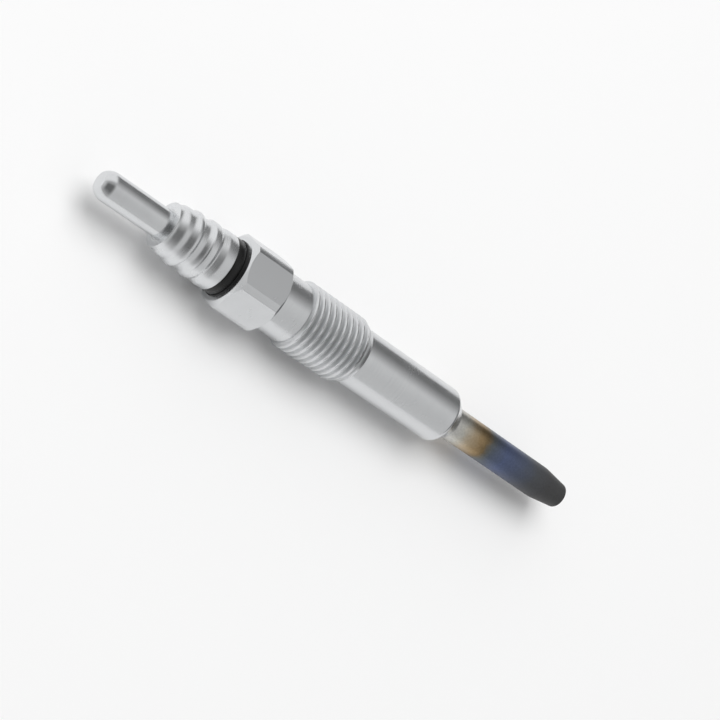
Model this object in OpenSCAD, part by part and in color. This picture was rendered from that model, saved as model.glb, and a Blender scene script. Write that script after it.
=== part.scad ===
// Sheathed-element glow plug for a diesel engine, lying on one flat of its hexagon.
// The axis runs along +X, with the terminal end at -X and the glowing tip at +X.

/* [Terminal pin] */
// Diameter of the pin that the connector pushes onto
pin_d = 4.9; // [4:0.1:5]
// Length of the pin that stands out of the nut
pin_out = 12.4; // [8:0.1:20]
// Diameter of the flat on the pin's end
pin_end_d = 3.1; // [2:0.1:3.6]
// Length of the pin's rounded nose
pin_nose = 1.9; // [1.2:0.1:4]
// Height by which the stretch that the nut is pressed onto stands proud of the pin
grip_step = 0.2; // [0.1:0.02:0.24]
// Length of the spigot that carries the first turns of the coil
spigot_len = 2.4; // [1:0.1:5]

/* [Round nut] */
// Diameter of the nut's top face
nut_top_d = 7.8; // [6.6:0.1:8.4]
// Length of the straight stretch below the top face
nut_lead = 0.6; // [0.2:0.05:2]
// Length of the cone that leads a connector on
nut_cone = 1.05; // [0.4:0.05:2]
// Diameter of the plain lip below the cone
nut_lip_d = 8.7; // [7.8:0.1:9.2]
// Length of the plain lip
nut_lip = 1.15; // [0.2:0.05:2]
// Length of the ramp from the lip up to the bead
bead_ramp = 0.9; // [0.4:0.05:2]
// Diameter of the snap bead
bead_d = 9.45; // [8.8:0.05:10]
// Radius of the bead's rounded back
bead_round = 0.7; // [0.4:0.05:0.9]
// Length of the bead's crest
bead_len = 0.35; // [0.2:0.05:2]
// Depth of the snap groove behind the bead
groove_depth = 0.4; // [0.2:0.05:0.7]
// Length of the snap groove
groove_len = 1.3; // [0.8:0.05:3]
// Diameter of the rib behind the groove
rib_d = 9.7; // [9:0.1:10.4]
// Length of the rib with the slope before it
rib_len = 1.7; // [0.8:0.05:2.5]
// Length of the slope up to the rib
rib_rise = 0.55; // [0.2:0.05:0.75]
// Length of the slope behind the rib
rib_fall = 0.45; // [0.2:0.05:1]
// Diameter at the foot of the slot between the rib and the flange
slot_d = 9.1; // [8.2:0.1:9.4]
// Length of the slope from that foot up to the flange
slot_rise = 1.25; // [0.6:0.05:2.5]
// Diameter of the nut's flange
flange_d = 9.75; // [9:0.05:10.6]
// Length of the flange
flange_len = 1.75; // [1:0.05:3]
// Small chamfer round the nut's top face
nut_edge = 0.12; // [0.05:0.01:0.25]

/* [Insulation] */
// Diameter of the insulating washer
washer_d = 9.7; // [9:0.1:10.4]
// Thickness of the washer
washer_t = 1.6; // [1:0.05:4]
// Wall of the sleeve that the washer sends down round the pin
sleeve_wall = 0.7; // [0.4:0.05:0.9]
// Length of that sleeve inside the body
sleeve_len = 6; // [3:0.1:10]
// Diameter of the seal ring's rim
seal_d = 10; // [9.6:0.1:10.9]
// Thickness of the rim that shows above the hexagon
seal_t = 0.3; // [0.2:0.05:1]
// Wall of the seal's barrel inside the body's mouth
seal_barrel_wall = 0.8; // [0.5:0.05:1]
// Depth of that barrel
seal_barrel_len = 1.8; // [1:0.1:2.8]

/* [Plug body] */
// Hexagon across its flats
hex_af = 12; // [11.9:0.1:13]
// Depth turned off the hexagon's corners
corner_off = 0.33; // [0.15:0.01:0.55]
// Diameter of the hexagon's front face
hex_face_d = 11.4; // [11:0.1:12.6]
// Angle of the front chamfer from the face
hex_face_angle = 15; // [10:1:45]
// Length of the hexagon
hex_len = 8.5; // [6.5:0.05:12]
// Chamfer at the hexagon's rear
hex_rear = 0.65; // [0.2:0.05:0.9]
// Diameter of the neck behind the hexagon
neck_d = 10.4; // [9.6:0.1:10.8]
// Length of the neck
neck_len = 5.45; // [3:0.05:12]
// Fillet between the neck and the hexagon
neck_fillet = 0.4; // [0.1:0.05:0.6]
// Crest diameter of the thread
thread_d = 11.8; // [11.4:0.05:11.9]
// Length of the steep chamfer at the thread's start
thread_lead = 0.15; // [0.1:0.05:1]
// Length of the full thread, chamfers apart
thread_len = 11.15; // [6:0.05:30]
// Length of the cone from the last thread down to the shank
thread_tail = 2.05; // [0.8:0.05:4]
// Diameter of the shank
shank_d = 10; // [9.2:0.1:10.4]
// Length of the shank
shank_len = 21.1; // [8:0.1:60]
// Length of the sealing cone
seat_len = 2.45; // [1.5:0.05:4]
// Rounding of the edge between the shank and the sealing cone
seat_round = 1; // [0.2:0.1:1.6]
// Width of the body's end face round the tube
seat_rim = 0.12; // [0.1:0.01:0.5]
// Air gap between the pin's thickest stretch and the bore
ring_gap = 0.25; // [0.15:0.05:0.3]

/* [Glow tube] */
// Outer diameter of the tube
tube_d = 5.9; // [5.7:0.1:6.6]
// Wall of the tube
tube_wall = 0.7; // [0.4:0.05:0.8]
// Length of the tube that the body grips
tube_grip = 18; // [8:0.5:20]
// Length of the tube that stands out of the seat
tube_out = 28.6; // [20:0.1:40]
// Length of the tapered end
taper_len = 5.4; // [2:0.1:10]
// Diameter at the tip
tip_d = 4.55; // [4.4:0.05:5.6]
// Thickness of the closed tip
tip_wall = 1.2; // [0.6:0.1:2.4]
// Rounding at the tip's edge
tip_round = 0.3; // [0.1:0.05:0.8]

/* [Heater] */
// Least thickness of powder between the coils and the tube
jacket_wall = 0.135; // [0.1:0.005:0.3]
// Diameter of the coils' wire
wire_d = 0.34; // [0.2:0.02:0.4]
// Length of both coils together
coil_len = 24; // [16:0.5:26]
// Length of the heating coil, the one at the tip
heating_len = 9; // [5:0.5:12]
// Turns of the heating coil
heating_turns = 9; // [5:1:14]
// Turns of the regulating coil
regulating_turns = 16; // [8:1:24]
// Length of the seal in the tube's top
heater_seal_len = 3; // [1.5:0.1:6]
// Wall of that seal, between the tube and the pin
heater_seal_wall = 0.51; // [0.3:0.01:0.8]

/* [Fits] */
// Gap left on each side of a pressed or crimped fit
press_gap = 0.02; // [0.01:0.01:0.05]
// Gap left on each side of a piece that slides into place
slide_gap = 0.05; // [0.03:0.01:0.1]

/* [Hidden] */
$fn = 96;

// Overlap that lets a cut pass right through a face
cut = 1;
// Sides and steps that draw the coils' wire
wire_sides = 6;
turn_steps = 16;

// Stations of the nut's steps, from its top face
cone_at = nut_lead;
lip_at = cone_at + nut_cone;
ramp_at = lip_at + nut_lip;
bead_at = ramp_at + bead_ramp;
bead_end = bead_at + bead_len;
// The bead's back is an arc that drops from the crest to the groove's floor
bead_fall = sqrt(bead_round * bead_round - pow(bead_round - groove_depth, 2));
groove_at = bead_end + bead_fall;
rib_at = groove_at + groove_len;
rib_end = rib_at + rib_len;
slot_at = rib_end + rib_fall;
flange_at = slot_at + slot_rise;
nut_len = flange_at + flange_len;

// Stations along the plug, from the pin's flat end to the tip
nut_at = pin_out;
washer_at = nut_at + nut_len;
seal_at = washer_at + washer_t;
hex_at = seal_at + seal_t;
neck_at = hex_at + hex_len;
thread_at = neck_at + neck_len;
tail_at = thread_at + thread_lead + thread_len;
shank_at = tail_at + thread_tail;
seat_at = shank_at + shank_len;
seat_end = seat_at + seat_len;
tube_at = seat_end - tube_grip;
tip_at = seat_end + tube_out;
taper_at = tip_at - taper_len;
floor_at = tip_at - tip_wall;
coil_at = floor_at - coil_len;
joint_at = floor_at - heating_len;
// The wire's middle where the coil leaves the pin, and where it meets the tip
wire_first = coil_at + wire_d / 2 + slide_gap;
wire_last = floor_at - wire_d / 2 - slide_gap;
sleeve_end = hex_at + sleeve_len;
mouth_end = hex_at + seal_barrel_len;

// Diameters that follow from the pieces they fit
groove_d = bead_d - 2 * groove_depth;
hex_corner_d = hex_af / cos(30) - 2 * corner_off;
grip_d = pin_d + 2 * grip_step;
pin_hole_d = grip_d + 2 * press_gap;
sleeve_d = pin_hole_d + 2 * sleeve_wall;
sleeve_hole_d = sleeve_d + 2 * slide_gap;
seal_barrel_d = sleeve_hole_d + 2 * seal_barrel_wall;
mouth_d = seal_barrel_d + 2 * slide_gap;
gap_bore_d = grip_d + 2 * ring_gap;
tube_hole_d = tube_d + 2 * press_gap;
tube_bore_d = tube_d - 2 * tube_wall;
tip_bore_d = tip_d - 2 * tube_wall;
heater_seal_d = tube_bore_d - 2 * press_gap;
stud_hole_d = heater_seal_d - 2 * heater_seal_wall;
stud_d = stud_hole_d - 2 * press_gap;
coil_outer_d = tip_bore_d - 2 * press_gap - 2 * jacket_wall;
coil_d = coil_outer_d - wire_d - 2 * slide_gap;
coil_inner_d = coil_d - wire_d - 2 * slide_gap;
seat_end_d = tube_hole_d + 2 * seat_rim;

// The sealing cone's slope from the axis, and how far its rounded edge reaches on either side
seat_slope = atan((shank_d - seat_end_d) / 2 / seat_len);
seat_reach = seat_round * tan(seat_slope / 2);

// Puts a piece drawn along +Z, pin end at the origin, onto its flat with the axis along +X
module laid() {
    translate([-tip_at / 2, 0, hex_af / 2])
        rotate([0, 90, 0])
            children();
}

// A tube with plain ends between two stations
module ring(outer_d, hole_d, from, to) {
    translate([0, 0, from])
        difference() {
            cylinder(d = outer_d, h = to - from);
            translate([0, 0, -cut])
                cylinder(d = hole_d, h = to - from + 2 * cut);
        }
}

// Half section of the pin's nose: an arc that runs smoothly into the pin's side
module nose_section() {
    drop = (pin_d - pin_end_d) / 2;
    arc_r = (drop * drop + pin_nose * pin_nose) / (2 * drop);
    intersection() {
        square([pin_d / 2, pin_nose]);
        translate([pin_d / 2 - arc_r, pin_nose])
            circle(r = arc_r);
    }
}

// Steel rod from the connector's pin to the spigot inside the coil
module terminal_pin() {
    color([0.74, 0.74, 0.75])
        laid()
            rotate_extrude() {
                nose_section();
                translate([0, pin_nose])
                    square([pin_d / 2, nut_at - pin_nose]);
                translate([0, nut_at])
                    square([grip_d / 2, sleeve_end - nut_at]);
                translate([0, sleeve_end])
                    square([stud_d / 2, coil_at - sleeve_end]);
                translate([0, coil_at])
                    square([coil_inner_d / 2, spigot_len]);
            }
}

// Half section of the nut, from its top face down to the washer
module nut_section() {
    difference() {
        polygon([
            [pin_hole_d / 2, 0],
            [nut_top_d / 2 - nut_edge, 0],
            [nut_top_d / 2, nut_edge],
            [nut_top_d / 2, cone_at],
            [nut_lip_d / 2, lip_at],
            [nut_lip_d / 2, ramp_at],
            [bead_d / 2, bead_at],
            [bead_d / 2, groove_at],
            [groove_d / 2, groove_at],
            [groove_d / 2, rib_at],
            [rib_d / 2, rib_at + rib_rise],
            [rib_d / 2, rib_end],
            [slot_d / 2, slot_at],
            [flange_d / 2, flange_at],
            [flange_d / 2, nut_len],
            [pin_hole_d / 2, nut_len],
        ]);
        bead_back();
    }
}

// What is cut from behind the bead's crest to leave its rounded back
module bead_back() {
    difference() {
        translate([bead_d / 2 - bead_round, bead_end])
            square([bead_round + cut, bead_fall]);
        translate([bead_d / 2 - bead_round, bead_end])
            circle(r = bead_round);
        square([groove_d / 2, nut_len]);
    }
}

// Stepped collar, crimped round the pin, that a connector snaps over
module round_nut() {
    color([0.78, 0.78, 0.79])
        laid()
            translate([0, 0, nut_at])
                rotate_extrude()
                    nut_section();
}

// Black washer with a sleeve that holds the pin clear of the body
module insulating_washer() {
    color([0.05, 0.05, 0.055])
        laid() {
            ring(washer_d, pin_hole_d, washer_at, seal_at);
            ring(sleeve_d, pin_hole_d, seal_at, sleeve_end);
        }
}

// Seal with a rim on the hexagon's face and a barrel in the body's mouth
module seal_ring() {
    color([0.03, 0.03, 0.03])
        laid() {
            ring(seal_d, sleeve_hole_d, seal_at, hex_at);
            ring(seal_barrel_d, sleeve_hole_d, hex_at, mouth_end);
        }
}

// Hexagon with its corners turned off and both ends chamfered
module hexagon() {
    front = (hex_corner_d - hex_face_d) / 2 * tan(hex_face_angle);
    intersection() {
        rotate([0, 0, 30])
            cylinder(d = hex_af / cos(30), h = hex_len, $fn = 6);
        rotate_extrude()
            polygon([
                [0, 0],
                [hex_face_d / 2, 0],
                [hex_corner_d / 2, front],
                [hex_corner_d / 2, hex_len - hex_rear],
                [hex_corner_d / 2 - hex_rear, hex_len],
                [0, hex_len],
            ]);
    }
}

// Half section of the body behind the hexagon: neck, thread, shank and sealing cone
module shank_section() {
    fillet = min(neck_fillet, hex_corner_d / 2 - hex_rear - neck_d / 2);
    polygon([
        [0, neck_at - cut],
        [neck_d / 2, neck_at - cut],
        [neck_d / 2, thread_at],
        [thread_d / 2, thread_at + thread_lead],
        [thread_d / 2, tail_at],
        [shank_d / 2, shank_at],
        [shank_d / 2, seat_at - seat_reach],
        [shank_d / 2 - seat_reach * sin(seat_slope), seat_at + seat_reach * cos(seat_slope)],
        [seat_end_d / 2, seat_end],
        [0, seat_end],
    ]);
    translate([shank_d / 2 - seat_round, seat_at - seat_reach])
        circle(r = seat_round);
    difference() {
        translate([neck_d / 2 - fillet, neck_at])
            square([2 * fillet, fillet]);
        translate([neck_d / 2 + fillet, neck_at + fillet])
            circle(r = fillet);
    }
}

// Half section of the bore: mouth for the seal, room for the sleeve, air gap, seat of the tube
module bore_section() {
    translate([0, hex_at - cut])
        square([mouth_d / 2, seal_barrel_len + cut]);
    translate([0, hex_at])
        square([sleeve_hole_d / 2, sleeve_len]);
    translate([0, hex_at])
        square([gap_bore_d / 2, tube_at + cut - hex_at]);
    translate([0, tube_at])
        square([tube_hole_d / 2, tube_grip + cut]);
}

// Hexagon, neck, thread, shank and seat, turned from one bar
module plug_body() {
    color([0.7, 0.71, 0.72])
        laid()
            difference() {
                union() {
                    translate([0, 0, hex_at])
                        hexagon();
                    rotate_extrude()
                        shank_section();
                }
                rotate_extrude()
                    bore_section();
            }
}

// Half section of the sheath's outside, straight and then tapered to the tip
module tube_section() {
    polygon([
        [0, tube_at],
        [tube_d / 2, tube_at],
        [tube_d / 2, taper_at],
        [tip_d / 2, tip_at - tip_round],
        [tip_d / 2 - tip_round, tip_at],
        [0, tip_at],
    ]);
    translate([tip_d / 2 - tip_round, tip_at - tip_round])
        circle(r = tip_round);
}

// Half section of the space inside the sheath, drawn in by gap on each side
module tube_space(gap, from) {
    polygon([
        [0, from],
        [tube_bore_d / 2 - gap, from],
        [tube_bore_d / 2 - gap, taper_at],
        [tip_bore_d / 2 - gap, floor_at - gap],
        [0, floor_at - gap],
    ]);
}

// Closed sheath, blued by heat, that carries the heater
module glow_tube() {
    color([0.36, 0.36, 0.4])
        laid()
            rotate_extrude()
                difference() {
                    tube_section();
                    tube_space(0, tube_at - cut);
                }
}

// Ring that closes the sheath's top round the pin
module heater_seal() {
    color([0.3, 0.12, 0.1])
        laid()
            ring(heater_seal_d, stud_hole_d, tube_at, tube_at + heater_seal_len);
}

// One point of the wire's skin: turn is the angle round the axis, side the angle round the wire
function wire_point(turn, along, side) =
    let (out = coil_d / 2 + wire_d / 2 * cos(side))
    [out * cos(turn), out * sin(turn), along + wire_d / 2 * sin(side)];

// Round wire wound from one station to another, starting at a given angle
module wound_wire(from, to, turns, start) {
    steps = turns * turn_steps;
    points = [
        for (i = [0:steps], j = [0:wire_sides - 1])
            wire_point(start + 360 * i / turn_steps, from + (to - from) * i / steps, 360 * j / wire_sides)
    ];
    skin = [
        for (i = [0:steps - 1], j = [0:wire_sides - 1])
            let (k = (j + 1) % wire_sides, near = i * wire_sides, far = near + wire_sides)
            each [[near + j, near + k, far + k], [near + j, far + k, far + j]]
    ];
    first_end = [for (j = [wire_sides - 1:-1:0]) j];
    last_end = [for (j = [0:wire_sides - 1]) steps * wire_sides + j];
    polyhedron(points, concat([first_end], skin, [last_end]));
}

// Coil whose resistance rises with heat, welded to the pin's spigot
module regulating_coil() {
    color([0.6, 0.58, 0.52])
        laid()
            wound_wire(wire_first, joint_at, regulating_turns, 0);
}

// Coil that glows, in series with the other and welded to the tip
module heating_coil() {
    color([0.72, 0.66, 0.55])
        laid()
            wound_wire(joint_at, wire_last, heating_turns, 360 * regulating_turns);
}

// Packed insulation: a jacket outside the coils and a core inside them
module filling_powder() {
    jacket_at = tube_at + heater_seal_len;
    core_at = coil_at + spigot_len;
    color([0.93, 0.92, 0.88])
        laid()
            rotate_extrude() {
                difference() {
                    tube_space(press_gap, jacket_at);
                    translate([0, jacket_at - cut])
                        square([stud_hole_d / 2, coil_at - jacket_at + cut]);
                    translate([0, coil_at - cut])
                        square([coil_outer_d / 2, coil_len + 2 * cut]);
                }
                translate([0, core_at])
                    square([coil_inner_d / 2, floor_at - press_gap - core_at]);
            }
}

terminal_pin();
round_nut();
insulating_washer();
seal_ring();
plug_body();
glow_tube();
heater_seal();
regulating_coil();
heating_coil();
filling_powder();
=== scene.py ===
import math

import bmesh
import bpy
from mathutils import Matrix, Vector


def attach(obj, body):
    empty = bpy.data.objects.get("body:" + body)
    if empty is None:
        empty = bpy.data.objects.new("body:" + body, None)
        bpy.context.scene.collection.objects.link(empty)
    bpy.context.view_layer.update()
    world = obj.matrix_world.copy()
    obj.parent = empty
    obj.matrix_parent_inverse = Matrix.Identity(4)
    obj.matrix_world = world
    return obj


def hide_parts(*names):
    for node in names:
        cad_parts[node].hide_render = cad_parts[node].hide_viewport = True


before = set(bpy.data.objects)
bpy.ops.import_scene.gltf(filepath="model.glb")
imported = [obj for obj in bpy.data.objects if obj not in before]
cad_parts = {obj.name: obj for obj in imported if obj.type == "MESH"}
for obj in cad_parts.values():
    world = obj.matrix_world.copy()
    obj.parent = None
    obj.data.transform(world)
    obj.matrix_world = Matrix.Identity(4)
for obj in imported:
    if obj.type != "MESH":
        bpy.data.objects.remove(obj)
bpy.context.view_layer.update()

# Sizes in millimetres, with the solids' names and values
MM = 0.001
PRESS_GAP, SLIDE_GAP = 0.02, 0.05
PIN_D, PIN_OUT, PIN_END_D, PIN_NOSE = 4.9, 12.4, 3.1, 1.9
GRIP_STEP, SPIGOT_LEN = 0.2, 2.4
NUT_TOP_D, NUT_LEAD, NUT_CONE = 7.8, 0.6, 1.05
NUT_LIP_D, NUT_LIP = 8.7, 1.15
BEAD_RAMP, BEAD_D, BEAD_ROUND, BEAD_LEN = 0.9, 9.45, 0.7, 0.35
GROOVE_DEPTH, GROOVE_LEN = 0.4, 1.3
RIB_D, RIB_LEN, RIB_RISE, RIB_FALL = 9.7, 1.7, 0.55, 0.45
SLOT_D, SLOT_RISE = 9.1, 1.25
FLANGE_D, FLANGE_LEN, NUT_EDGE = 9.75, 1.75, 0.12
WASHER_D, WASHER_T = 9.7, 1.6
SLEEVE_WALL, SLEEVE_LEN = 0.7, 6
SEAL_D, SEAL_T, SEAL_BARREL_WALL, SEAL_BARREL_LEN = 10.0, 0.3, 0.8, 1.8
HEX_AF, CORNER_OFF, HEX_FACE_D, HEX_LEN, HEX_REAR = 12.0, 0.33, 11.4, 8.5, 0.65
NECK_D, NECK_LEN, NECK_FILLET = 10.4, 5.45, 0.4
THREAD_D, THREAD_LEAD, THREAD_LEN, THREAD_TAIL = 11.8, 0.15, 11.15, 2.05
SHANK_D, SHANK_LEN = 10.0, 21.1
SEAT_LEN, SEAT_ROUND, SEAT_RIM, RING_GAP = 2.45, 1.0, 0.12, 0.25
TUBE_D, TUBE_WALL, TUBE_GRIP, TUBE_OUT = 5.9, 0.7, 18, 28.6
TAPER_LEN, TIP_D, TIP_WALL, TIP_ROUND = 5.4, 4.55, 1.2, 0.3
JACKET_WALL, WIRE_D, COIL_LEN, HEATER_SEAL_WALL = 0.135, 0.34, 24, 0.51

# Sizes that only the scene has: a steeper chamfer at the hexagon's front, the thread's ridges, and how far small
# roundings reach from their corners. THREAD_FLAT is the share of a pitch that is level, half of it on the crest and
# half in the root. NEAR_GROOVE_AT is the station of a root on the side that faces the camera.
HEX_FRONT_ANGLE = math.radians(40)
THREAD_PITCH, THREAD_DEPTH, THREAD_FLAT = 1.25, 0.62, 0.28
NEAR_GROOVE_AT = 45.56
PIN_EDGE, WASHER_EDGE, SEAL_EDGE, HEX_FACE_EDGE = 0.1, 0.15, 0.12, 0.12
CONE_EDGE, BEAD_EDGE, RIB_EDGE, GROOVE_FILLET = 0.3, 0.2, 0.15, 0.5
TIP_EDGE, TAPER_EDGE = TIP_ROUND * 0.99, 0.5

# Stations, from the pin's flat end to the tip
NUT_AT = PIN_OUT
CONE_AT = NUT_AT + NUT_LEAD
LIP_AT = CONE_AT + NUT_CONE
RAMP_AT = LIP_AT + NUT_LIP
BEAD_AT = RAMP_AT + BEAD_RAMP
BEAD_END = BEAD_AT + BEAD_LEN
BEAD_TURN = math.acos((BEAD_ROUND - GROOVE_DEPTH) / BEAD_ROUND)
GROOVE_AT = BEAD_END + BEAD_ROUND * math.sin(BEAD_TURN)
RIB_AT = GROOVE_AT + GROOVE_LEN
RIB_TOP = RIB_AT + RIB_RISE
RIB_END = RIB_AT + RIB_LEN
SLOT_AT = RIB_END + RIB_FALL
FLANGE_AT = SLOT_AT + SLOT_RISE
WASHER_AT = FLANGE_AT + FLANGE_LEN
SEAL_AT = WASHER_AT + WASHER_T
HEX_AT = SEAL_AT + SEAL_T
MOUTH_END = HEX_AT + SEAL_BARREL_LEN
SLEEVE_END = HEX_AT + SLEEVE_LEN
NECK_AT = HEX_AT + HEX_LEN
THREAD_AT = NECK_AT + NECK_LEN
CREST_AT = THREAD_AT + THREAD_LEAD
TAIL_AT = CREST_AT + THREAD_LEN
SHANK_AT = TAIL_AT + THREAD_TAIL
SEAT_AT = SHANK_AT + SHANK_LEN
SEAT_END = SEAT_AT + SEAT_LEN
TUBE_AT = SEAT_END - TUBE_GRIP
TIP_AT = SEAT_END + TUBE_OUT
TAPER_AT = TIP_AT - TAPER_LEN
FLOOR_AT = TIP_AT - TIP_WALL
COIL_AT = FLOOR_AT - COIL_LEN

# Diameters and lengths that follow from the sizes
GRIP_D = PIN_D + 2 * GRIP_STEP
PIN_HOLE_D = GRIP_D + 2 * PRESS_GAP
GROOVE_D = BEAD_D - 2 * GROOVE_DEPTH
SLEEVE_D = PIN_HOLE_D + 2 * SLEEVE_WALL
SLEEVE_HOLE_D = SLEEVE_D + 2 * SLIDE_GAP
SEAL_BARREL_D = SLEEVE_HOLE_D + 2 * SEAL_BARREL_WALL
MOUTH_D = SEAL_BARREL_D + 2 * SLIDE_GAP
GAP_BORE_D = GRIP_D + 2 * RING_GAP
HEX_CORNER_D = HEX_AF / math.cos(math.radians(30)) - 2 * CORNER_OFF
HEX_FRONT = (HEX_CORNER_D - HEX_FACE_D) / 2 * math.tan(HEX_FRONT_ANGLE)
TUBE_HOLE_D = TUBE_D + 2 * PRESS_GAP
TUBE_BORE_D = TUBE_D - 2 * TUBE_WALL
TIP_BORE_D = TIP_D - 2 * TUBE_WALL
STUD_D = TUBE_BORE_D - 4 * PRESS_GAP - 2 * HEATER_SEAL_WALL
SPIGOT_D = TIP_BORE_D - 2 * PRESS_GAP - 2 * JACKET_WALL - 2 * WIRE_D - 4 * SLIDE_GAP
SEAT_END_D = TUBE_HOLE_D + 2 * SEAT_RIM
SEAT_SLOPE = math.atan((SHANK_D - SEAT_END_D) / 2 / SEAT_LEN)
SEAT_REACH = SEAT_ROUND * math.tan(SEAT_SLOPE / 2)
AXIS_Z = HEX_AF / 2

# Fineness of the skins: steps of a turn, points per thread pitch, reaches in metres, and the angle of a sharp edge
TURN_STEPS = 144
THREAD_ROWS = 16
MERGE_REACH = 1e-7
CUT_REACH = 1e-8
SHARP_ANGLE = math.radians(18)

# The camera looks at a station of the axis. It stands LOOK_UP round the axis from the floor's near side, leans
# LOOK_BACK towards the terminal and is rolled to the photograph's slope. LOOK_DISTANCE and NEAR_CLIP are in metres.
LOOK_AT = 54.86
LOOK_BACK = math.radians(32.5)
LOOK_UP = math.radians(66.3)
LOOK_ROLL = math.radians(34.58)
LOOK_DISTANCE = 0.3
LENS = 92.5
SENSOR = 36
NEAR_CLIP = 0.01


def at(station, across):
    """A point of a half section, in metres: station along the axis, and half of a diameter away from it."""
    return Vector(((station - TIP_AT / 2) * MM, 0, across / 2 * MM))


def wire(bm, points, start=None):
    """Joins points of a half section, given as station and diameter, and returns their vertices."""
    made = [start] if start else []
    made += [bm.verts.new(at(*point)) for point in points]
    for pair in zip(made, made[1:]):
        bm.edges.new(pair)
    return made


def arc(bm, start, centre, angle, steps):
    """Carries a vertex round a centre in the section's plane and returns the arc's last vertex."""
    swept = bmesh.ops.spin(bm, geom=[start], cent=at(*centre), axis=(0, 1, 0), angle=angle, steps=steps)
    return next(item for item in swept["geom_last"] if isinstance(item, bmesh.types.BMVert))


def soften(bm, corners, reach, segments=3):
    """Rounds corners of a half section, starting this far from each one, in millimetres."""
    bmesh.ops.bevel(bm, geom=corners, offset=reach * MM, offset_type="OFFSET", segments=segments, profile=0.5,
                    affect="VERTICES", material=-1, clamp_overlap=True)


def turn(bm):
    """Turns the half section about the plug's axis into a closed skin."""
    bmesh.ops.spin(bm, geom=bm.verts[:] + bm.edges[:], cent=(0, 0, 0), axis=(1, 0, 0), angle=math.tau,
                   steps=TURN_STEPS, use_merge=True)
    bmesh.ops.remove_doubles(bm, verts=bm.verts[:], dist=MERGE_REACH)
    bmesh.ops.recalc_face_normals(bm, faces=bm.faces[:])


def finish_piece(bm, name, node, finish):
    """Lays the skin on the ground as a piece that stands for a node."""
    bmesh.ops.translate(bm, verts=bm.verts[:], vec=(0, 0, AXIS_Z * MM))
    for face in bm.faces:
        face.smooth = True
    mesh = bpy.data.meshes.new(name)
    bm.to_mesh(mesh)
    bm.free()
    mesh.set_sharp_from_angle(angle=SHARP_ANGLE)
    mesh.materials.append(finish)
    piece = bpy.data.objects.new(name, mesh)
    bpy.context.collection.objects.link(piece)
    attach(piece, "root")
    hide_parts(node)


# Shader helpers

def put(tree, kind, sources=None, **settings):
    """Adds a node, sets it up and feeds its inputs from sockets or plain values."""
    node = tree.nodes.new(kind)
    for key, value in settings.items():
        setattr(node, key, value)
    for name, source in (sources or {}).items():
        if isinstance(source, bpy.types.NodeSocket):
            tree.links.new(source, node.inputs[name])
        else:
            node.inputs[name].default_value = source
    return node


def sums(tree, operation, first, second=None):
    """The result of one sum on values."""
    sources = {0: first}
    if second is not None:
        sources[1] = second
    return put(tree, "ShaderNodeMath", sources, operation=operation).outputs[0]


def weighed(tree, first, first_share, second, second_share):
    """Two values added up, each times its share."""
    return sums(tree, "ADD", sums(tree, "MULTIPLY", first, first_share), sums(tree, "MULTIPLY", second, second_share))


def spread(tree, value, low, high, to_low, to_high):
    """Stretches a value from one range to another."""
    sources = {"Value": value, "From Min": low, "From Max": high, "To Min": to_low, "To Max": to_high}
    return put(tree, "ShaderNodeMapRange", sources).outputs[0]


def fade(tree, value, start, end):
    """A mask that rises from 0 to 1 between two values."""
    return spread(tree, value, start, end, 0.0, 1.0)


def overlap(tree, first, *others):
    """A mask of the place where several masks hold together."""
    for mask in others:
        first = sums(tree, "MULTIPLY", first, mask)
    return first


def blended(tree, mask, first, second):
    """A colour between two others. A colour mix has its own sockets for the mask, the colours and the result."""
    return put(tree, "ShaderNodeMix", {0: mask, 6: first, 7: second}, data_type="RGBA").outputs[2]


def ramp(tree, place, stops):
    """A colour ramp with the given stops."""
    node = put(tree, "ShaderNodeValToRGB", {"Fac": place})
    bar = node.color_ramp
    while len(bar.elements) < len(stops):
        bar.elements.new(1.0)
    for element, (position, colour) in zip(bar.elements, stops):
        element.position = position
        element.color = (*colour, 1)
    return node.outputs["Color"]


def object_place(tree):
    """Where a point of the piece lies."""
    return put(tree, "ShaderNodeTexCoord").outputs["Object"]


def place_along(tree):
    """Where a point of the piece lies along the plug's axis."""
    return put(tree, "ShaderNodeSeparateXYZ", {0: object_place(tree)}).outputs["X"]


def grey(level, warmth=0.0):
    """A near-grey colour, warm for a warmth above 0 and cool below it."""
    return (level * (1 + warmth), level, level * (1 - warmth), 1)


# Effects that several finishes share. Most of a noise lies in NOISE_SPAN.
NOISE_SPAN = (0.3, 0.7)
SMUDGE_SHIFT = (0.37, 0.61, 0.43)
SMUDGE_STEP = 2.17


def group(name, inputs, outputs):
    """An empty shader node group with value sockets. Returns the tree, its input node and its output node."""
    tree = bpy.data.node_groups.new(name, "ShaderNodeTree")
    for socket, value in inputs.items():
        tree.interface.new_socket(socket, in_out="INPUT", socket_type="NodeSocketFloat").default_value = value
    for socket in outputs:
        tree.interface.new_socket(socket, in_out="OUTPUT", socket_type="NodeSocketFloat")
    return tree, tree.nodes.new("NodeGroupInput"), tree.nodes.new("NodeGroupOutput")


def turned_lines_group():
    """Fine lines that a lathe tool leaves: they circle the axis, on walls and on end faces alike."""
    tree, given, result = group("turned lines", {"Spacing": 0.1 * MM}, ["Lines"])
    centred = put(tree, "ShaderNodeVectorMath", {0: object_place(tree), 1: (0, 0, AXIS_Z * MM)},
                  operation="SUBTRACT").outputs[0]
    parts = put(tree, "ShaderNodeSeparateXYZ", {0: centred}).outputs
    squares = sums(tree, "ADD", sums(tree, "MULTIPLY", parts["Y"], parts["Y"]),
                   sums(tree, "MULTIPLY", parts["Z"], parts["Z"]))
    along = sums(tree, "ADD", parts["X"], sums(tree, "SQRT", squares))
    steps = sums(tree, "DIVIDE", along, given.outputs["Spacing"])
    lines = put(tree, "ShaderNodeTexNoise", {"W": steps, "Scale": 1.0, "Detail": 3.0, "Roughness": 0.65},
                noise_dimensions="1D")
    tree.links.new(lines.outputs[0], result.inputs["Lines"])
    return tree


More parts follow.
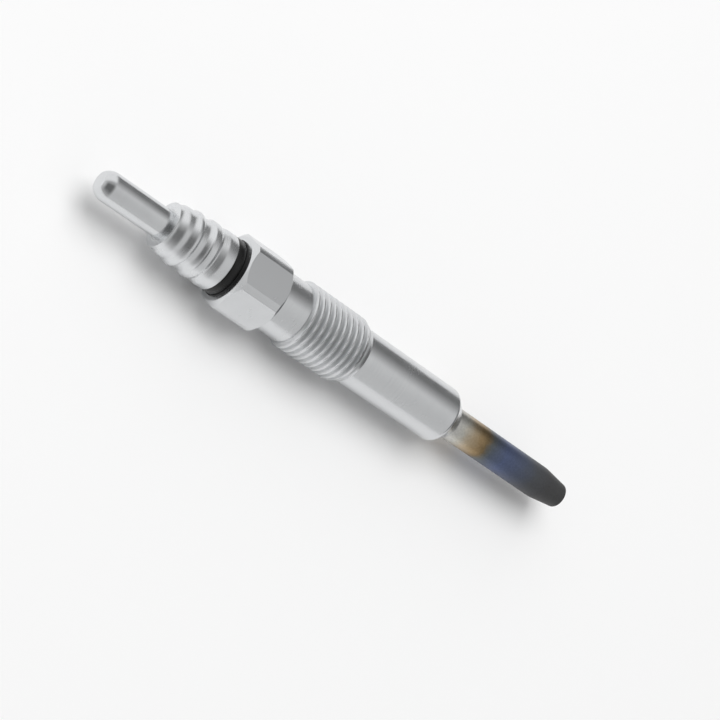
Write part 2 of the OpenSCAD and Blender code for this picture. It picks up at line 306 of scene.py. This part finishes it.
def smudges_group():
    """Soft cloudy patches, such as handling and plating leave. The shift keeps the noise's own grid off the flats,
    where it shows as rings."""
    tree, given, result = group("smudges", {"Size": 4 * MM}, ["Mask"])
    scaled = put(tree, "ShaderNodeVectorMath", {0: object_place(tree), 1: given.outputs["Size"]},
                 operation="DIVIDE").outputs[0]
    moved = put(tree, "ShaderNodeVectorMath", {0: scaled, 1: SMUDGE_SHIFT}, operation="ADD").outputs[0]
    clouds = put(tree, "ShaderNodeTexNoise", {"Vector": moved, "Scale": 1.0, "Detail": 4.0, "Roughness": 0.55,
                                              "Lacunarity": SMUDGE_STEP})
    tree.links.new(fade(tree, clouds.outputs[0], *NOISE_SPAN), result.inputs["Mask"])
    return tree


TURNED_LINES = turned_lines_group()
SMUDGES = smudges_group()


def use(tree, shared, **values):
    """Places a shared group in a material with its own values."""
    node = put(tree, "ShaderNodeGroup", node_tree=shared)
    for name, value in values.items():
        node.inputs[name].default_value = value
    return node.outputs[0]


# Finishes. Sizes in their calls are in millimetres, and a gloss is its lowest and highest roughness.
BUMP_HEIGHT = 0.02 * MM
STEEL_WARMTH = -0.016
LINE_SHADE, LINE_SHARE, CLOUD_SHARE = 0.93, 0.4, 0.6
GLOSS_SPAN = (0.2, 0.8)
# Painted shade in the thread's roots: its share at a root's bottom, its darkness against the steel, and the roughness
# added there
ROOT_SHADE_MIX, ROOT_SHADE_LEVEL, ROOT_ROUGHNESS = 0.15, 0.3, 0.15
PLAIN_EDGE, PLAIN_LINES = 0.1, 0.5
STEEL_CLOUDS = 3


def look(name):
    """A new material, its node tree and its shader."""
    made = bpy.data.materials.new(name)
    made.use_nodes = True
    return made, made.node_tree, made.node_tree.nodes["Principled BSDF"]


def roughen(tree, shader, height, strength):
    """Lifts the surface a little by a pattern."""
    bump = put(tree, "ShaderNodeBump", {"Height": height, "Strength": strength, "Distance": BUMP_HEIGHT})
    tree.links.new(bump.outputs[0], shader.inputs["Normal"])


def steel(name, level, gloss, spacing, lift, groove=None, plain=None):
    """Turned steel: fine lines except on a plain stretch, cloudy gloss and, where a groove attribute is named,
    painted shade and higher roughness in the grooves."""
    made, tree, shader = look(name)
    lines = use(tree, TURNED_LINES, Spacing=spacing * MM)
    if plain:
        first, last = (at(station, 0).x for station in plain)
        along = place_along(tree)
        inside = overlap(tree, fade(tree, along, first - PLAIN_EDGE * MM, first),
                         fade(tree, along, last + PLAIN_EDGE * MM, last))
        lines = spread(tree, inside, 0.0, 1.0, lines, PLAIN_LINES)
    clouds = use(tree, SMUDGES, Size=STEEL_CLOUDS * MM)
    shader.inputs["Metallic"].default_value = 1
    colour = blended(tree, fade(tree, lines, *NOISE_SPAN), grey(level * LINE_SHADE, STEEL_WARMTH),
                     grey(level, STEEL_WARMTH))
    rough = spread(tree, weighed(tree, lines, LINE_SHARE, clouds, CLOUD_SHARE), *GLOSS_SPAN, *gloss)
    # Painted shade: the colour darkens towards the thread's roots by the groove's depth, and the roughness rises
    # there
    if groove:
        depth = put(tree, "ShaderNodeAttribute", attribute_name=groove).outputs["Fac"]
        colour = blended(tree, sums(tree, "MULTIPLY", depth, ROOT_SHADE_MIX), colour,
                         grey(level * ROOT_SHADE_LEVEL, STEEL_WARMTH))
        rough = sums(tree, "ADD", rough, sums(tree, "MULTIPLY", depth, ROOT_ROUGHNESS))
    tree.links.new(colour, shader.inputs["Base Color"])
    tree.links.new(rough, shader.inputs["Roughness"])
    roughen(tree, shader, lines, lift)
    return made


# Tint of the glow tube against the distance from its tip in millimetres: colour, how metallic, how rough
HEAT_TINT = [
    (0.0, (0.047, 0.047, 0.047), 0.1, 0.55),
    (5.0, (0.051, 0.051, 0.053), 0.15, 0.52),
    (8.5, (0.062, 0.066, 0.074), 0.2, 0.5),
    (11.0, (0.073, 0.085, 0.118), 0.35, 0.45),
    (13.2, (0.085, 0.105, 0.17), 0.55, 0.4),
    (16.5, (0.105, 0.135, 0.24), 0.8, 0.36),
    (19.0, (0.11, 0.13, 0.17), 0.85, 0.35),
    (20.2, (0.13, 0.14, 0.14), 0.9, 0.34),
    (21.4, (0.22, 0.16, 0.085), 0.95, 0.33),
    (22.6, (0.35, 0.25, 0.135), 1.0, 0.32),
    (24.6, (0.48, 0.39, 0.27), 1.0, 0.32),
    (26.8, (0.57, 0.56, 0.51), 1.0, 0.32),
    (30.0, (0.6, 0.6, 0.6), 1.0, 0.32),
]
TINT_SPAN, TINT_WANDER = 32.0, 0.5
TUBE_CLOUDS, TUBE_GRAIN, TUBE_LINES, TUBE_LIFT = 2.2, 0.35, 0.09, 0.2
TUBE_SPECKLE, TUBE_CLOUDY = (0.86, 1.08), (-0.04, 0.06)


def heat_tinted():
    """Bare alloy that heat has browned, blued and burnt dark towards the tip."""
    made, tree, shader = look("heat tinted alloy")
    clouds = use(tree, SMUDGES, Size=TUBE_CLOUDS * MM)
    grain = use(tree, SMUDGES, Size=TUBE_GRAIN * MM)
    lines = use(tree, TURNED_LINES, Spacing=TUBE_LINES * MM)
    back = sums(tree, "SUBTRACT", TIP_AT / 2 * MM, place_along(tree))
    wander = spread(tree, clouds, 0.0, 1.0, -TINT_WANDER * MM, TINT_WANDER * MM)
    place = sums(tree, "DIVIDE", sums(tree, "ADD", back, wander), TINT_SPAN * MM)
    tint = ramp(tree, place, [(far / TINT_SPAN, colour) for far, colour, _, _ in HEAT_TINT])
    finish = ramp(tree, place, [(far / TINT_SPAN, (metal, rough, 0)) for far, _, metal, rough in HEAT_TINT])
    metal, rough, _ = put(tree, "ShaderNodeSeparateColor", {0: finish}).outputs
    speckle = spread(tree, grain, 0.0, 1.0, *TUBE_SPECKLE)
    shade = put(tree, "ShaderNodeVectorMath", {0: tint, "Scale": speckle}, operation="SCALE").outputs[0]
    cloudy = sums(tree, "ADD", rough, spread(tree, clouds, 0.0, 1.0, *TUBE_CLOUDY))
    tree.links.new(shade, shader.inputs["Base Color"])
    tree.links.new(metal, shader.inputs["Metallic"])
    tree.links.new(cloudy, shader.inputs["Roughness"])
    roughen(tree, shader, weighed(tree, lines, 0.5, grain, 0.5), TUBE_LIFT)
    return made


MOULDING_IOR, MOULDING_SHADE, MOULDING_CLOUDS = 1.4, 1.6, 2
HIDDEN_SHADE = 0.7


def black_moulding(name, level, gloss, grain_size, lift):
    """Black plastic or rubber with a fine moulded grain and cloudy gloss."""
    made, tree, shader = look(name)
    clouds = use(tree, SMUDGES, Size=MOULDING_CLOUDS * MM)
    grain = use(tree, SMUDGES, Size=grain_size * MM)
    tree.links.new(blended(tree, clouds, grey(level), grey(level * MOULDING_SHADE)), shader.inputs["Base Color"])
    tree.links.new(spread(tree, clouds, 0.0, 1.0, *gloss), shader.inputs["Roughness"])
    shader.inputs["IOR"].default_value = MOULDING_IOR
    roughen(tree, shader, grain, lift)
    return made


def hidden_look(name, colour, metal, gloss, grain_size):
    """Finish of a piece inside the tube: one colour with grain."""
    made, tree, shader = look(name)
    grain = use(tree, SMUDGES, Size=grain_size * MM)
    dark = tuple(value * HIDDEN_SHADE for value in colour)
    tree.links.new(blended(tree, grain, (*dark, 1), (*colour, 1)), shader.inputs["Base Color"])
    shader.inputs["Metallic"].default_value = metal
    tree.links.new(spread(tree, grain, 0.0, 1.0, *gloss), shader.inputs["Roughness"])
    return made


PIN_STEEL = steel("bright turned steel", level=0.73, gloss=(0.16, 0.24), spacing=0.12, lift=0.1)
NUT_STEEL = steel("satin turned steel", level=0.77, gloss=(0.24, 0.32), spacing=0.16, lift=0.12)
BODY_STEEL = steel("satin zinc plate", level=0.73, gloss=(0.2, 0.28), spacing=0.2, lift=0.1, groove="groove",
                   plain=(HEX_AT + 0.15, NECK_AT - 0.15))
TUBE_ALLOY = heat_tinted()
INSULATOR = black_moulding("black insulator", level=0.004, gloss=(0.22, 0.32), grain_size=0.2, lift=0.05)
SEAL_RUBBER = black_moulding("black seal rubber", level=0.006, gloss=(0.4, 0.5), grain_size=0.12, lift=0.12)


# Pieces

def terminal_pin():
    """Rod with a rounded nose, a thicker stretch for the nut, and a thin end inside the tube."""
    bm = bmesh.new()
    drop = (PIN_D - PIN_END_D) / 2
    nose_r = (drop * drop + PIN_NOSE * PIN_NOSE) / (2 * drop)
    _, end_rim = wire(bm, [(0, 0), (0, PIN_END_D)])
    side = arc(bm, end_rim, (PIN_NOSE, PIN_D - 2 * nose_r), math.asin(PIN_NOSE / nose_r), 10)
    wire(bm, [(NUT_AT, PIN_D), (NUT_AT, GRIP_D), (SLEEVE_END, GRIP_D), (SLEEVE_END, STUD_D), (COIL_AT, STUD_D),
              (COIL_AT, SPIGOT_D), (COIL_AT + SPIGOT_LEN, SPIGOT_D), (COIL_AT + SPIGOT_LEN, 0)], side)
    soften(bm, [end_rim], PIN_EDGE)
    turn(bm)
    finish_piece(bm, "terminal_rod", "terminal_pin", PIN_STEEL)


def round_nut():
    """Stepped collar: straight lead, cone, lip, snap bead, groove, rib, slot and flange."""
    bm = bmesh.new()
    hole, top, cone, lip, lip_end, bead, bead_end = wire(bm, [
        (NUT_AT, PIN_HOLE_D), (NUT_AT, NUT_TOP_D), (CONE_AT, NUT_TOP_D), (LIP_AT, NUT_LIP_D), (RAMP_AT, NUT_LIP_D),
        (BEAD_AT, BEAD_D), (BEAD_END, BEAD_D)])
    bead_foot = arc(bm, bead_end, (BEAD_END, BEAD_D - 2 * BEAD_ROUND), BEAD_TURN, 8)
    _, groove_end, rib, rib_end, slot, flange, flange_end, foot = wire(bm, [
        (RIB_AT, GROOVE_D), (RIB_TOP, RIB_D), (RIB_END, RIB_D), (SLOT_AT, SLOT_D), (FLANGE_AT, FLANGE_D),
        (WASHER_AT, FLANGE_D), (WASHER_AT, PIN_HOLE_D)], bead_foot)
    bm.edges.new((foot, hole))
    soften(bm, [top, flange_end], NUT_EDGE)
    soften(bm, [cone, lip, lip_end], CONE_EDGE, segments=5)
    soften(bm, [bead, slot], BEAD_EDGE, segments=5)
    soften(bm, [groove_end], GROOVE_FILLET, segments=6)
    soften(bm, [rib, rib_end, flange], RIB_EDGE, segments=4)
    turn(bm)
    finish_piece(bm, "snap_nut", "round_nut", NUT_STEEL)


def insulating_washer():
    """Black washer with its sleeve."""
    bm = bmesh.new()
    hole, top, rim, *_, sleeve_end = wire(bm, [
        (WASHER_AT, PIN_HOLE_D), (WASHER_AT, WASHER_D), (SEAL_AT, WASHER_D), (SEAL_AT, SLEEVE_D),
        (SLEEVE_END, SLEEVE_D), (SLEEVE_END, PIN_HOLE_D)])
    bm.edges.new((sleeve_end, hole))
    soften(bm, [top, rim], WASHER_EDGE)
    turn(bm)
    finish_piece(bm, "black_washer", "insulating_washer", INSULATOR)


def seal_ring():
    """Seal with a rounded rim and its barrel."""
    bm = bmesh.new()
    hole, rim, *_, barrel_end = wire(bm, [
        (SEAL_AT, SLEEVE_HOLE_D), (SEAL_AT, SEAL_D), (HEX_AT, SEAL_D), (HEX_AT, SEAL_BARREL_D),
        (MOUTH_END, SEAL_BARREL_D), (MOUTH_END, SLEEVE_HOLE_D)])
    bm.edges.new((barrel_end, hole))
    soften(bm, [rim], SEAL_EDGE, segments=4)
    turn(bm)
    finish_piece(bm, "seal_rim", "seal_ring", SEAL_RUBBER)


def rows(start, end):
    """Points of a half section after start, close enough together to carry the thread's ridges."""
    count = max(3, round(math.dist(start, end) / THREAD_PITCH * THREAD_ROWS))
    first, last = Vector(start), Vector(end)
    return [tuple(first.lerp(last, step / count)) for step in range(1, count + 1)]


def cut_thread(bm):
    """Presses a right-hand groove into the skin between the neck and the shank, and keeps its depth as a value."""
    groove = bm.verts.layers.float.new("groove")
    near_side = math.pi - LOOK_UP
    for vert in bm.verts:
        station = vert.co.x / MM + TIP_AT / 2
        across = 2 * math.hypot(vert.co.y, vert.co.z) / MM
        outside = across > (TUBE_HOLE_D + SHANK_D) / 2
        if not (THREAD_AT < station < SHANK_AT and outside):
            continue
        angle = math.atan2(vert.co.z, vert.co.y)
        turns = (station - NEAR_GROOVE_AT) / THREAD_PITCH - (angle - near_side) / math.tau
        from_crest = abs(2 * (turns - math.floor(turns)) - 1)
        flank = min(max((1 - THREAD_FLAT / 2 - from_crest) / (1 - THREAD_FLAT), 0.0), 1.0)
        height = 0.5 * flank + 0.5 * flank * flank * (3 - 2 * flank)
        ridge_d = THREAD_D - 2 * THREAD_DEPTH * (1 - height)
        vert[groove] = 1 - height
        if ridge_d < across:
            vert.co.y *= ridge_d / across
            vert.co.z *= ridge_d / across


def cut_flats(bm):
    """Cuts the six flats of the hexagon and closes them."""
    for flat in range(6):
        angle = math.radians(30 + 60 * flat)
        outward = Vector((0, math.cos(angle), math.sin(angle)))
        cut = bmesh.ops.bisect_plane(bm, geom=bm.verts[:] + bm.edges[:] + bm.faces[:], dist=CUT_REACH,
                                     plane_co=outward * (HEX_AF / 2 * MM), plane_no=outward, clear_outer=True)
        rim = [item for item in cut["geom_cut"] if isinstance(item, bmesh.types.BMEdge)]
        bmesh.ops.edgeloop_fill(bm, edges=rim)
    bmesh.ops.recalc_face_normals(bm, faces=bm.faces[:])


def plug_body():
    """Hexagon, neck, thread, shank and seat in one skin, with the stepped bore."""
    bm = bmesh.new()
    mouth, face_rim, *_, neck, thread_foot = wire(bm, [
        (HEX_AT, MOUTH_D), (HEX_AT, HEX_FACE_D), (HEX_AT + HEX_FRONT, HEX_CORNER_D),
        (NECK_AT - HEX_REAR, HEX_CORNER_D), (NECK_AT, HEX_CORNER_D - 2 * HEX_REAR), (NECK_AT, NECK_D),
        (THREAD_AT, NECK_D)])
    foot, crest, tail = (THREAD_AT, NECK_D), (CREST_AT, THREAD_D), (TAIL_AT, THREAD_D)
    thread = wire(bm, rows(foot, crest) + rows(crest, tail) + rows(tail, (SHANK_AT, SHANK_D)), thread_foot)
    _, seat, *_, mouth_floor = wire(bm, [
        (SEAT_AT, SHANK_D), (SEAT_END, SEAT_END_D), (SEAT_END, TUBE_HOLE_D), (TUBE_AT, TUBE_HOLE_D),
        (TUBE_AT, GAP_BORE_D), (SLEEVE_END, GAP_BORE_D), (SLEEVE_END, SLEEVE_HOLE_D), (MOUTH_END, SLEEVE_HOLE_D),
        (MOUTH_END, MOUTH_D)], thread[-1])
    bm.edges.new((mouth_floor, mouth))
    soften(bm, [face_rim], HEX_FACE_EDGE, segments=4)
    soften(bm, [neck], NECK_FILLET, segments=5)
    soften(bm, [seat], SEAT_REACH, segments=6)
    turn(bm)
    cut_thread(bm)
    cut_flats(bm)
    finish_piece(bm, "threaded_body", "plug_body", BODY_STEEL)


def glow_tube():
    """Closed sheath with a tapered, rounded tip."""
    bm = bmesh.new()
    *_, taper, _, tip_rim, _ = wire(bm, [
        (FLOOR_AT, 0), (FLOOR_AT, TIP_BORE_D), (TAPER_AT, TUBE_BORE_D), (TUBE_AT, TUBE_BORE_D), (TUBE_AT, TUBE_D),
        (TAPER_AT, TUBE_D), (TIP_AT - TIP_ROUND, TIP_D), (TIP_AT, TIP_D), (TIP_AT, 0)])
    soften(bm, [tip_rim], TIP_EDGE, segments=5)
    soften(bm, [taper], TAPER_EDGE)
    turn(bm)
    finish_piece(bm, "sheath_tube", "glow_tube", TUBE_ALLOY)


terminal_pin()
round_nut()
insulating_washer()
seal_ring()
plug_body()
glow_tube()

HIDDEN_LOOKS = {
    "heater_seal": hidden_look("red seal rubber", (0.28, 0.09, 0.06), metal=0, gloss=(0.6, 0.75), grain_size=0.3),
    "regulating_coil": hidden_look("regulating wire", (0.52, 0.5, 0.44), metal=1, gloss=(0.3, 0.45), grain_size=0.2),
    "heating_coil": hidden_look("heating wire", (0.55, 0.48, 0.38), metal=1, gloss=(0.35, 0.5), grain_size=0.2),
    "filling_powder": hidden_look("packed magnesia", (0.86, 0.85, 0.8), metal=0, gloss=(0.8, 0.95), grain_size=0.4),
}
for node, finish in HIDDEN_LOOKS.items():
    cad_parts[node].data.materials.clear()
    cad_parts[node].data.materials.append(finish)


# Floor, light and camera. Places and sizes here are in metres.
FLOOR_HALF, FLOOR_DROP = 2.0, 0.00002
FLOOR_LEVEL, FLOOR_ROUGHNESS = 0.97, 0.7
KEY_PLACE, KEY_SIZE, KEY_POWER = (-0.2, 0.4, 1.25), 1.1, 11.7

# Brightness of the room against the angle round the plug's long axis, in degrees: 0 on the camera's side, 90
# overhead, 180 behind the plug
ROOM = [(-180, 0.18), (-20, 0.54), (8, 0.65), (51, 0.65), (98, 0.73), (128, 0.36), (146, 0.19), (180, 0.18)]
PANEL_LEVEL, DARK_LEVEL = 0.95, 0.16

# Where the panel and the dark stretches begin, between two values each: of that angle, or of a direction's share
# along the axis, which is 1 straight off the tip and -1 straight off the terminal
PANEL_FOOT = (math.radians(110), math.radians(128))
CAMERA_TOP = (math.radians(118), math.radians(88))
CAMERA_FOOT, CAMERA_FOOT_MASK = (0.0, math.radians(45)), 0.2
TERMINAL_HALF, TERMINAL_END, TIP_END = (0.36, 0.06), (-0.9, -0.7), (0.7, 0.92)


def floor():
    """Large pale floor."""
    bm = bmesh.new()
    bmesh.ops.create_grid(bm, x_segments=1, y_segments=1, size=FLOOR_HALF)
    bmesh.ops.translate(bm, verts=bm.verts[:], vec=(0, 0, -FLOOR_DROP))
    mesh = bpy.data.meshes.new("floor")
    bm.to_mesh(mesh)
    bm.free()
    made, _, shader = look("white floor")
    shader.inputs["Base Color"].default_value = grey(FLOOR_LEVEL)
    shader.inputs["Roughness"].default_value = FLOOR_ROUGHNESS
    mesh.materials.append(made)
    stage = bpy.data.objects.new("floor", mesh)
    bpy.context.collection.objects.link(stage)


def surroundings():
    """Grey room with a light panel behind the plug, dark off its tip and where the camera stands."""
    world = bpy.data.worlds.new("studio")
    bpy.context.scene.world = world
    world.use_nodes = True
    tree = world.node_tree
    direction = put(tree, "ShaderNodeTexCoord").outputs["Generated"]
    parts = put(tree, "ShaderNodeSeparateXYZ", {0: direction}).outputs
    angle = sums(tree, "ARCTAN2", parts["Z"], sums(tree, "MULTIPLY", parts["Y"], -1.0))
    place = fade(tree, angle, -math.pi, math.pi)
    level = ramp(tree, place, [((degrees + 180) / 360, (value, value, value)) for degrees, value in ROOM])
    terminal_half = fade(tree, parts["X"], *TERMINAL_HALF)
    camera_side = overlap(tree, terminal_half, fade(tree, parts["X"], *TERMINAL_END), fade(tree, angle, *CAMERA_TOP),
                          spread(tree, angle, *CAMERA_FOOT, CAMERA_FOOT_MASK, 1.0))
    panel = overlap(tree, terminal_half, fade(tree, angle, *PANEL_FOOT))
    dark = sums(tree, "MAXIMUM", camera_side, fade(tree, parts["X"], *TIP_END))
    lit = blended(tree, panel, level, grey(PANEL_LEVEL))
    tree.links.new(blended(tree, dark, lit, grey(DARK_LEVEL)), tree.nodes["Background"].inputs["Color"])


def key_lamp():
    """Square area lamp that looks at the frame's origin and casts no glare on the metal."""
    lamp = bpy.data.lights.new("key", "AREA")
    lamp.shape = "SQUARE"
    lamp.size = KEY_SIZE
    lamp.energy = KEY_POWER
    holder = bpy.data.objects.new("key", lamp)
    holder.location = KEY_PLACE
    holder.rotation_euler = (-Vector(KEY_PLACE)).to_track_quat("-Z", "Y").to_euler()
    holder.visible_glossy = False
    bpy.context.collection.objects.link(holder)


def camera():
    """Camera at the photograph's angle."""
    across = Vector((0, -math.cos(LOOK_UP), math.sin(LOOK_UP)))
    along = Vector((1, 0, 0))
    back = -math.sin(LOOK_BACK) * along + math.cos(LOOK_BACK) * across
    right = math.cos(LOOK_BACK) * along + math.sin(LOOK_BACK) * across
    up = Vector((0, math.sin(LOOK_UP), math.cos(LOOK_UP)))
    x_axis = math.cos(LOOK_ROLL) * right + math.sin(LOOK_ROLL) * up
    y_axis = -math.sin(LOOK_ROLL) * right + math.cos(LOOK_ROLL) * up
    target = at(LOOK_AT, 0) + Vector((0, 0, AXIS_Z * MM))
    data = bpy.data.cameras.new("camera")
    data.lens = LENS
    data.sensor_width = SENSOR
    data.clip_start = NEAR_CLIP
    holder = bpy.data.objects.new("camera", data)
    turned = Matrix((x_axis, y_axis, back)).transposed().to_4x4()
    holder.matrix_world = Matrix.Translation(target + LOOK_DISTANCE * back) @ turned
    bpy.context.collection.objects.link(holder)
    bpy.context.scene.camera = holder


floor()
surroundings()
key_lamp()
camera()
bpy.context.scene.view_settings.view_transform = "Standard"
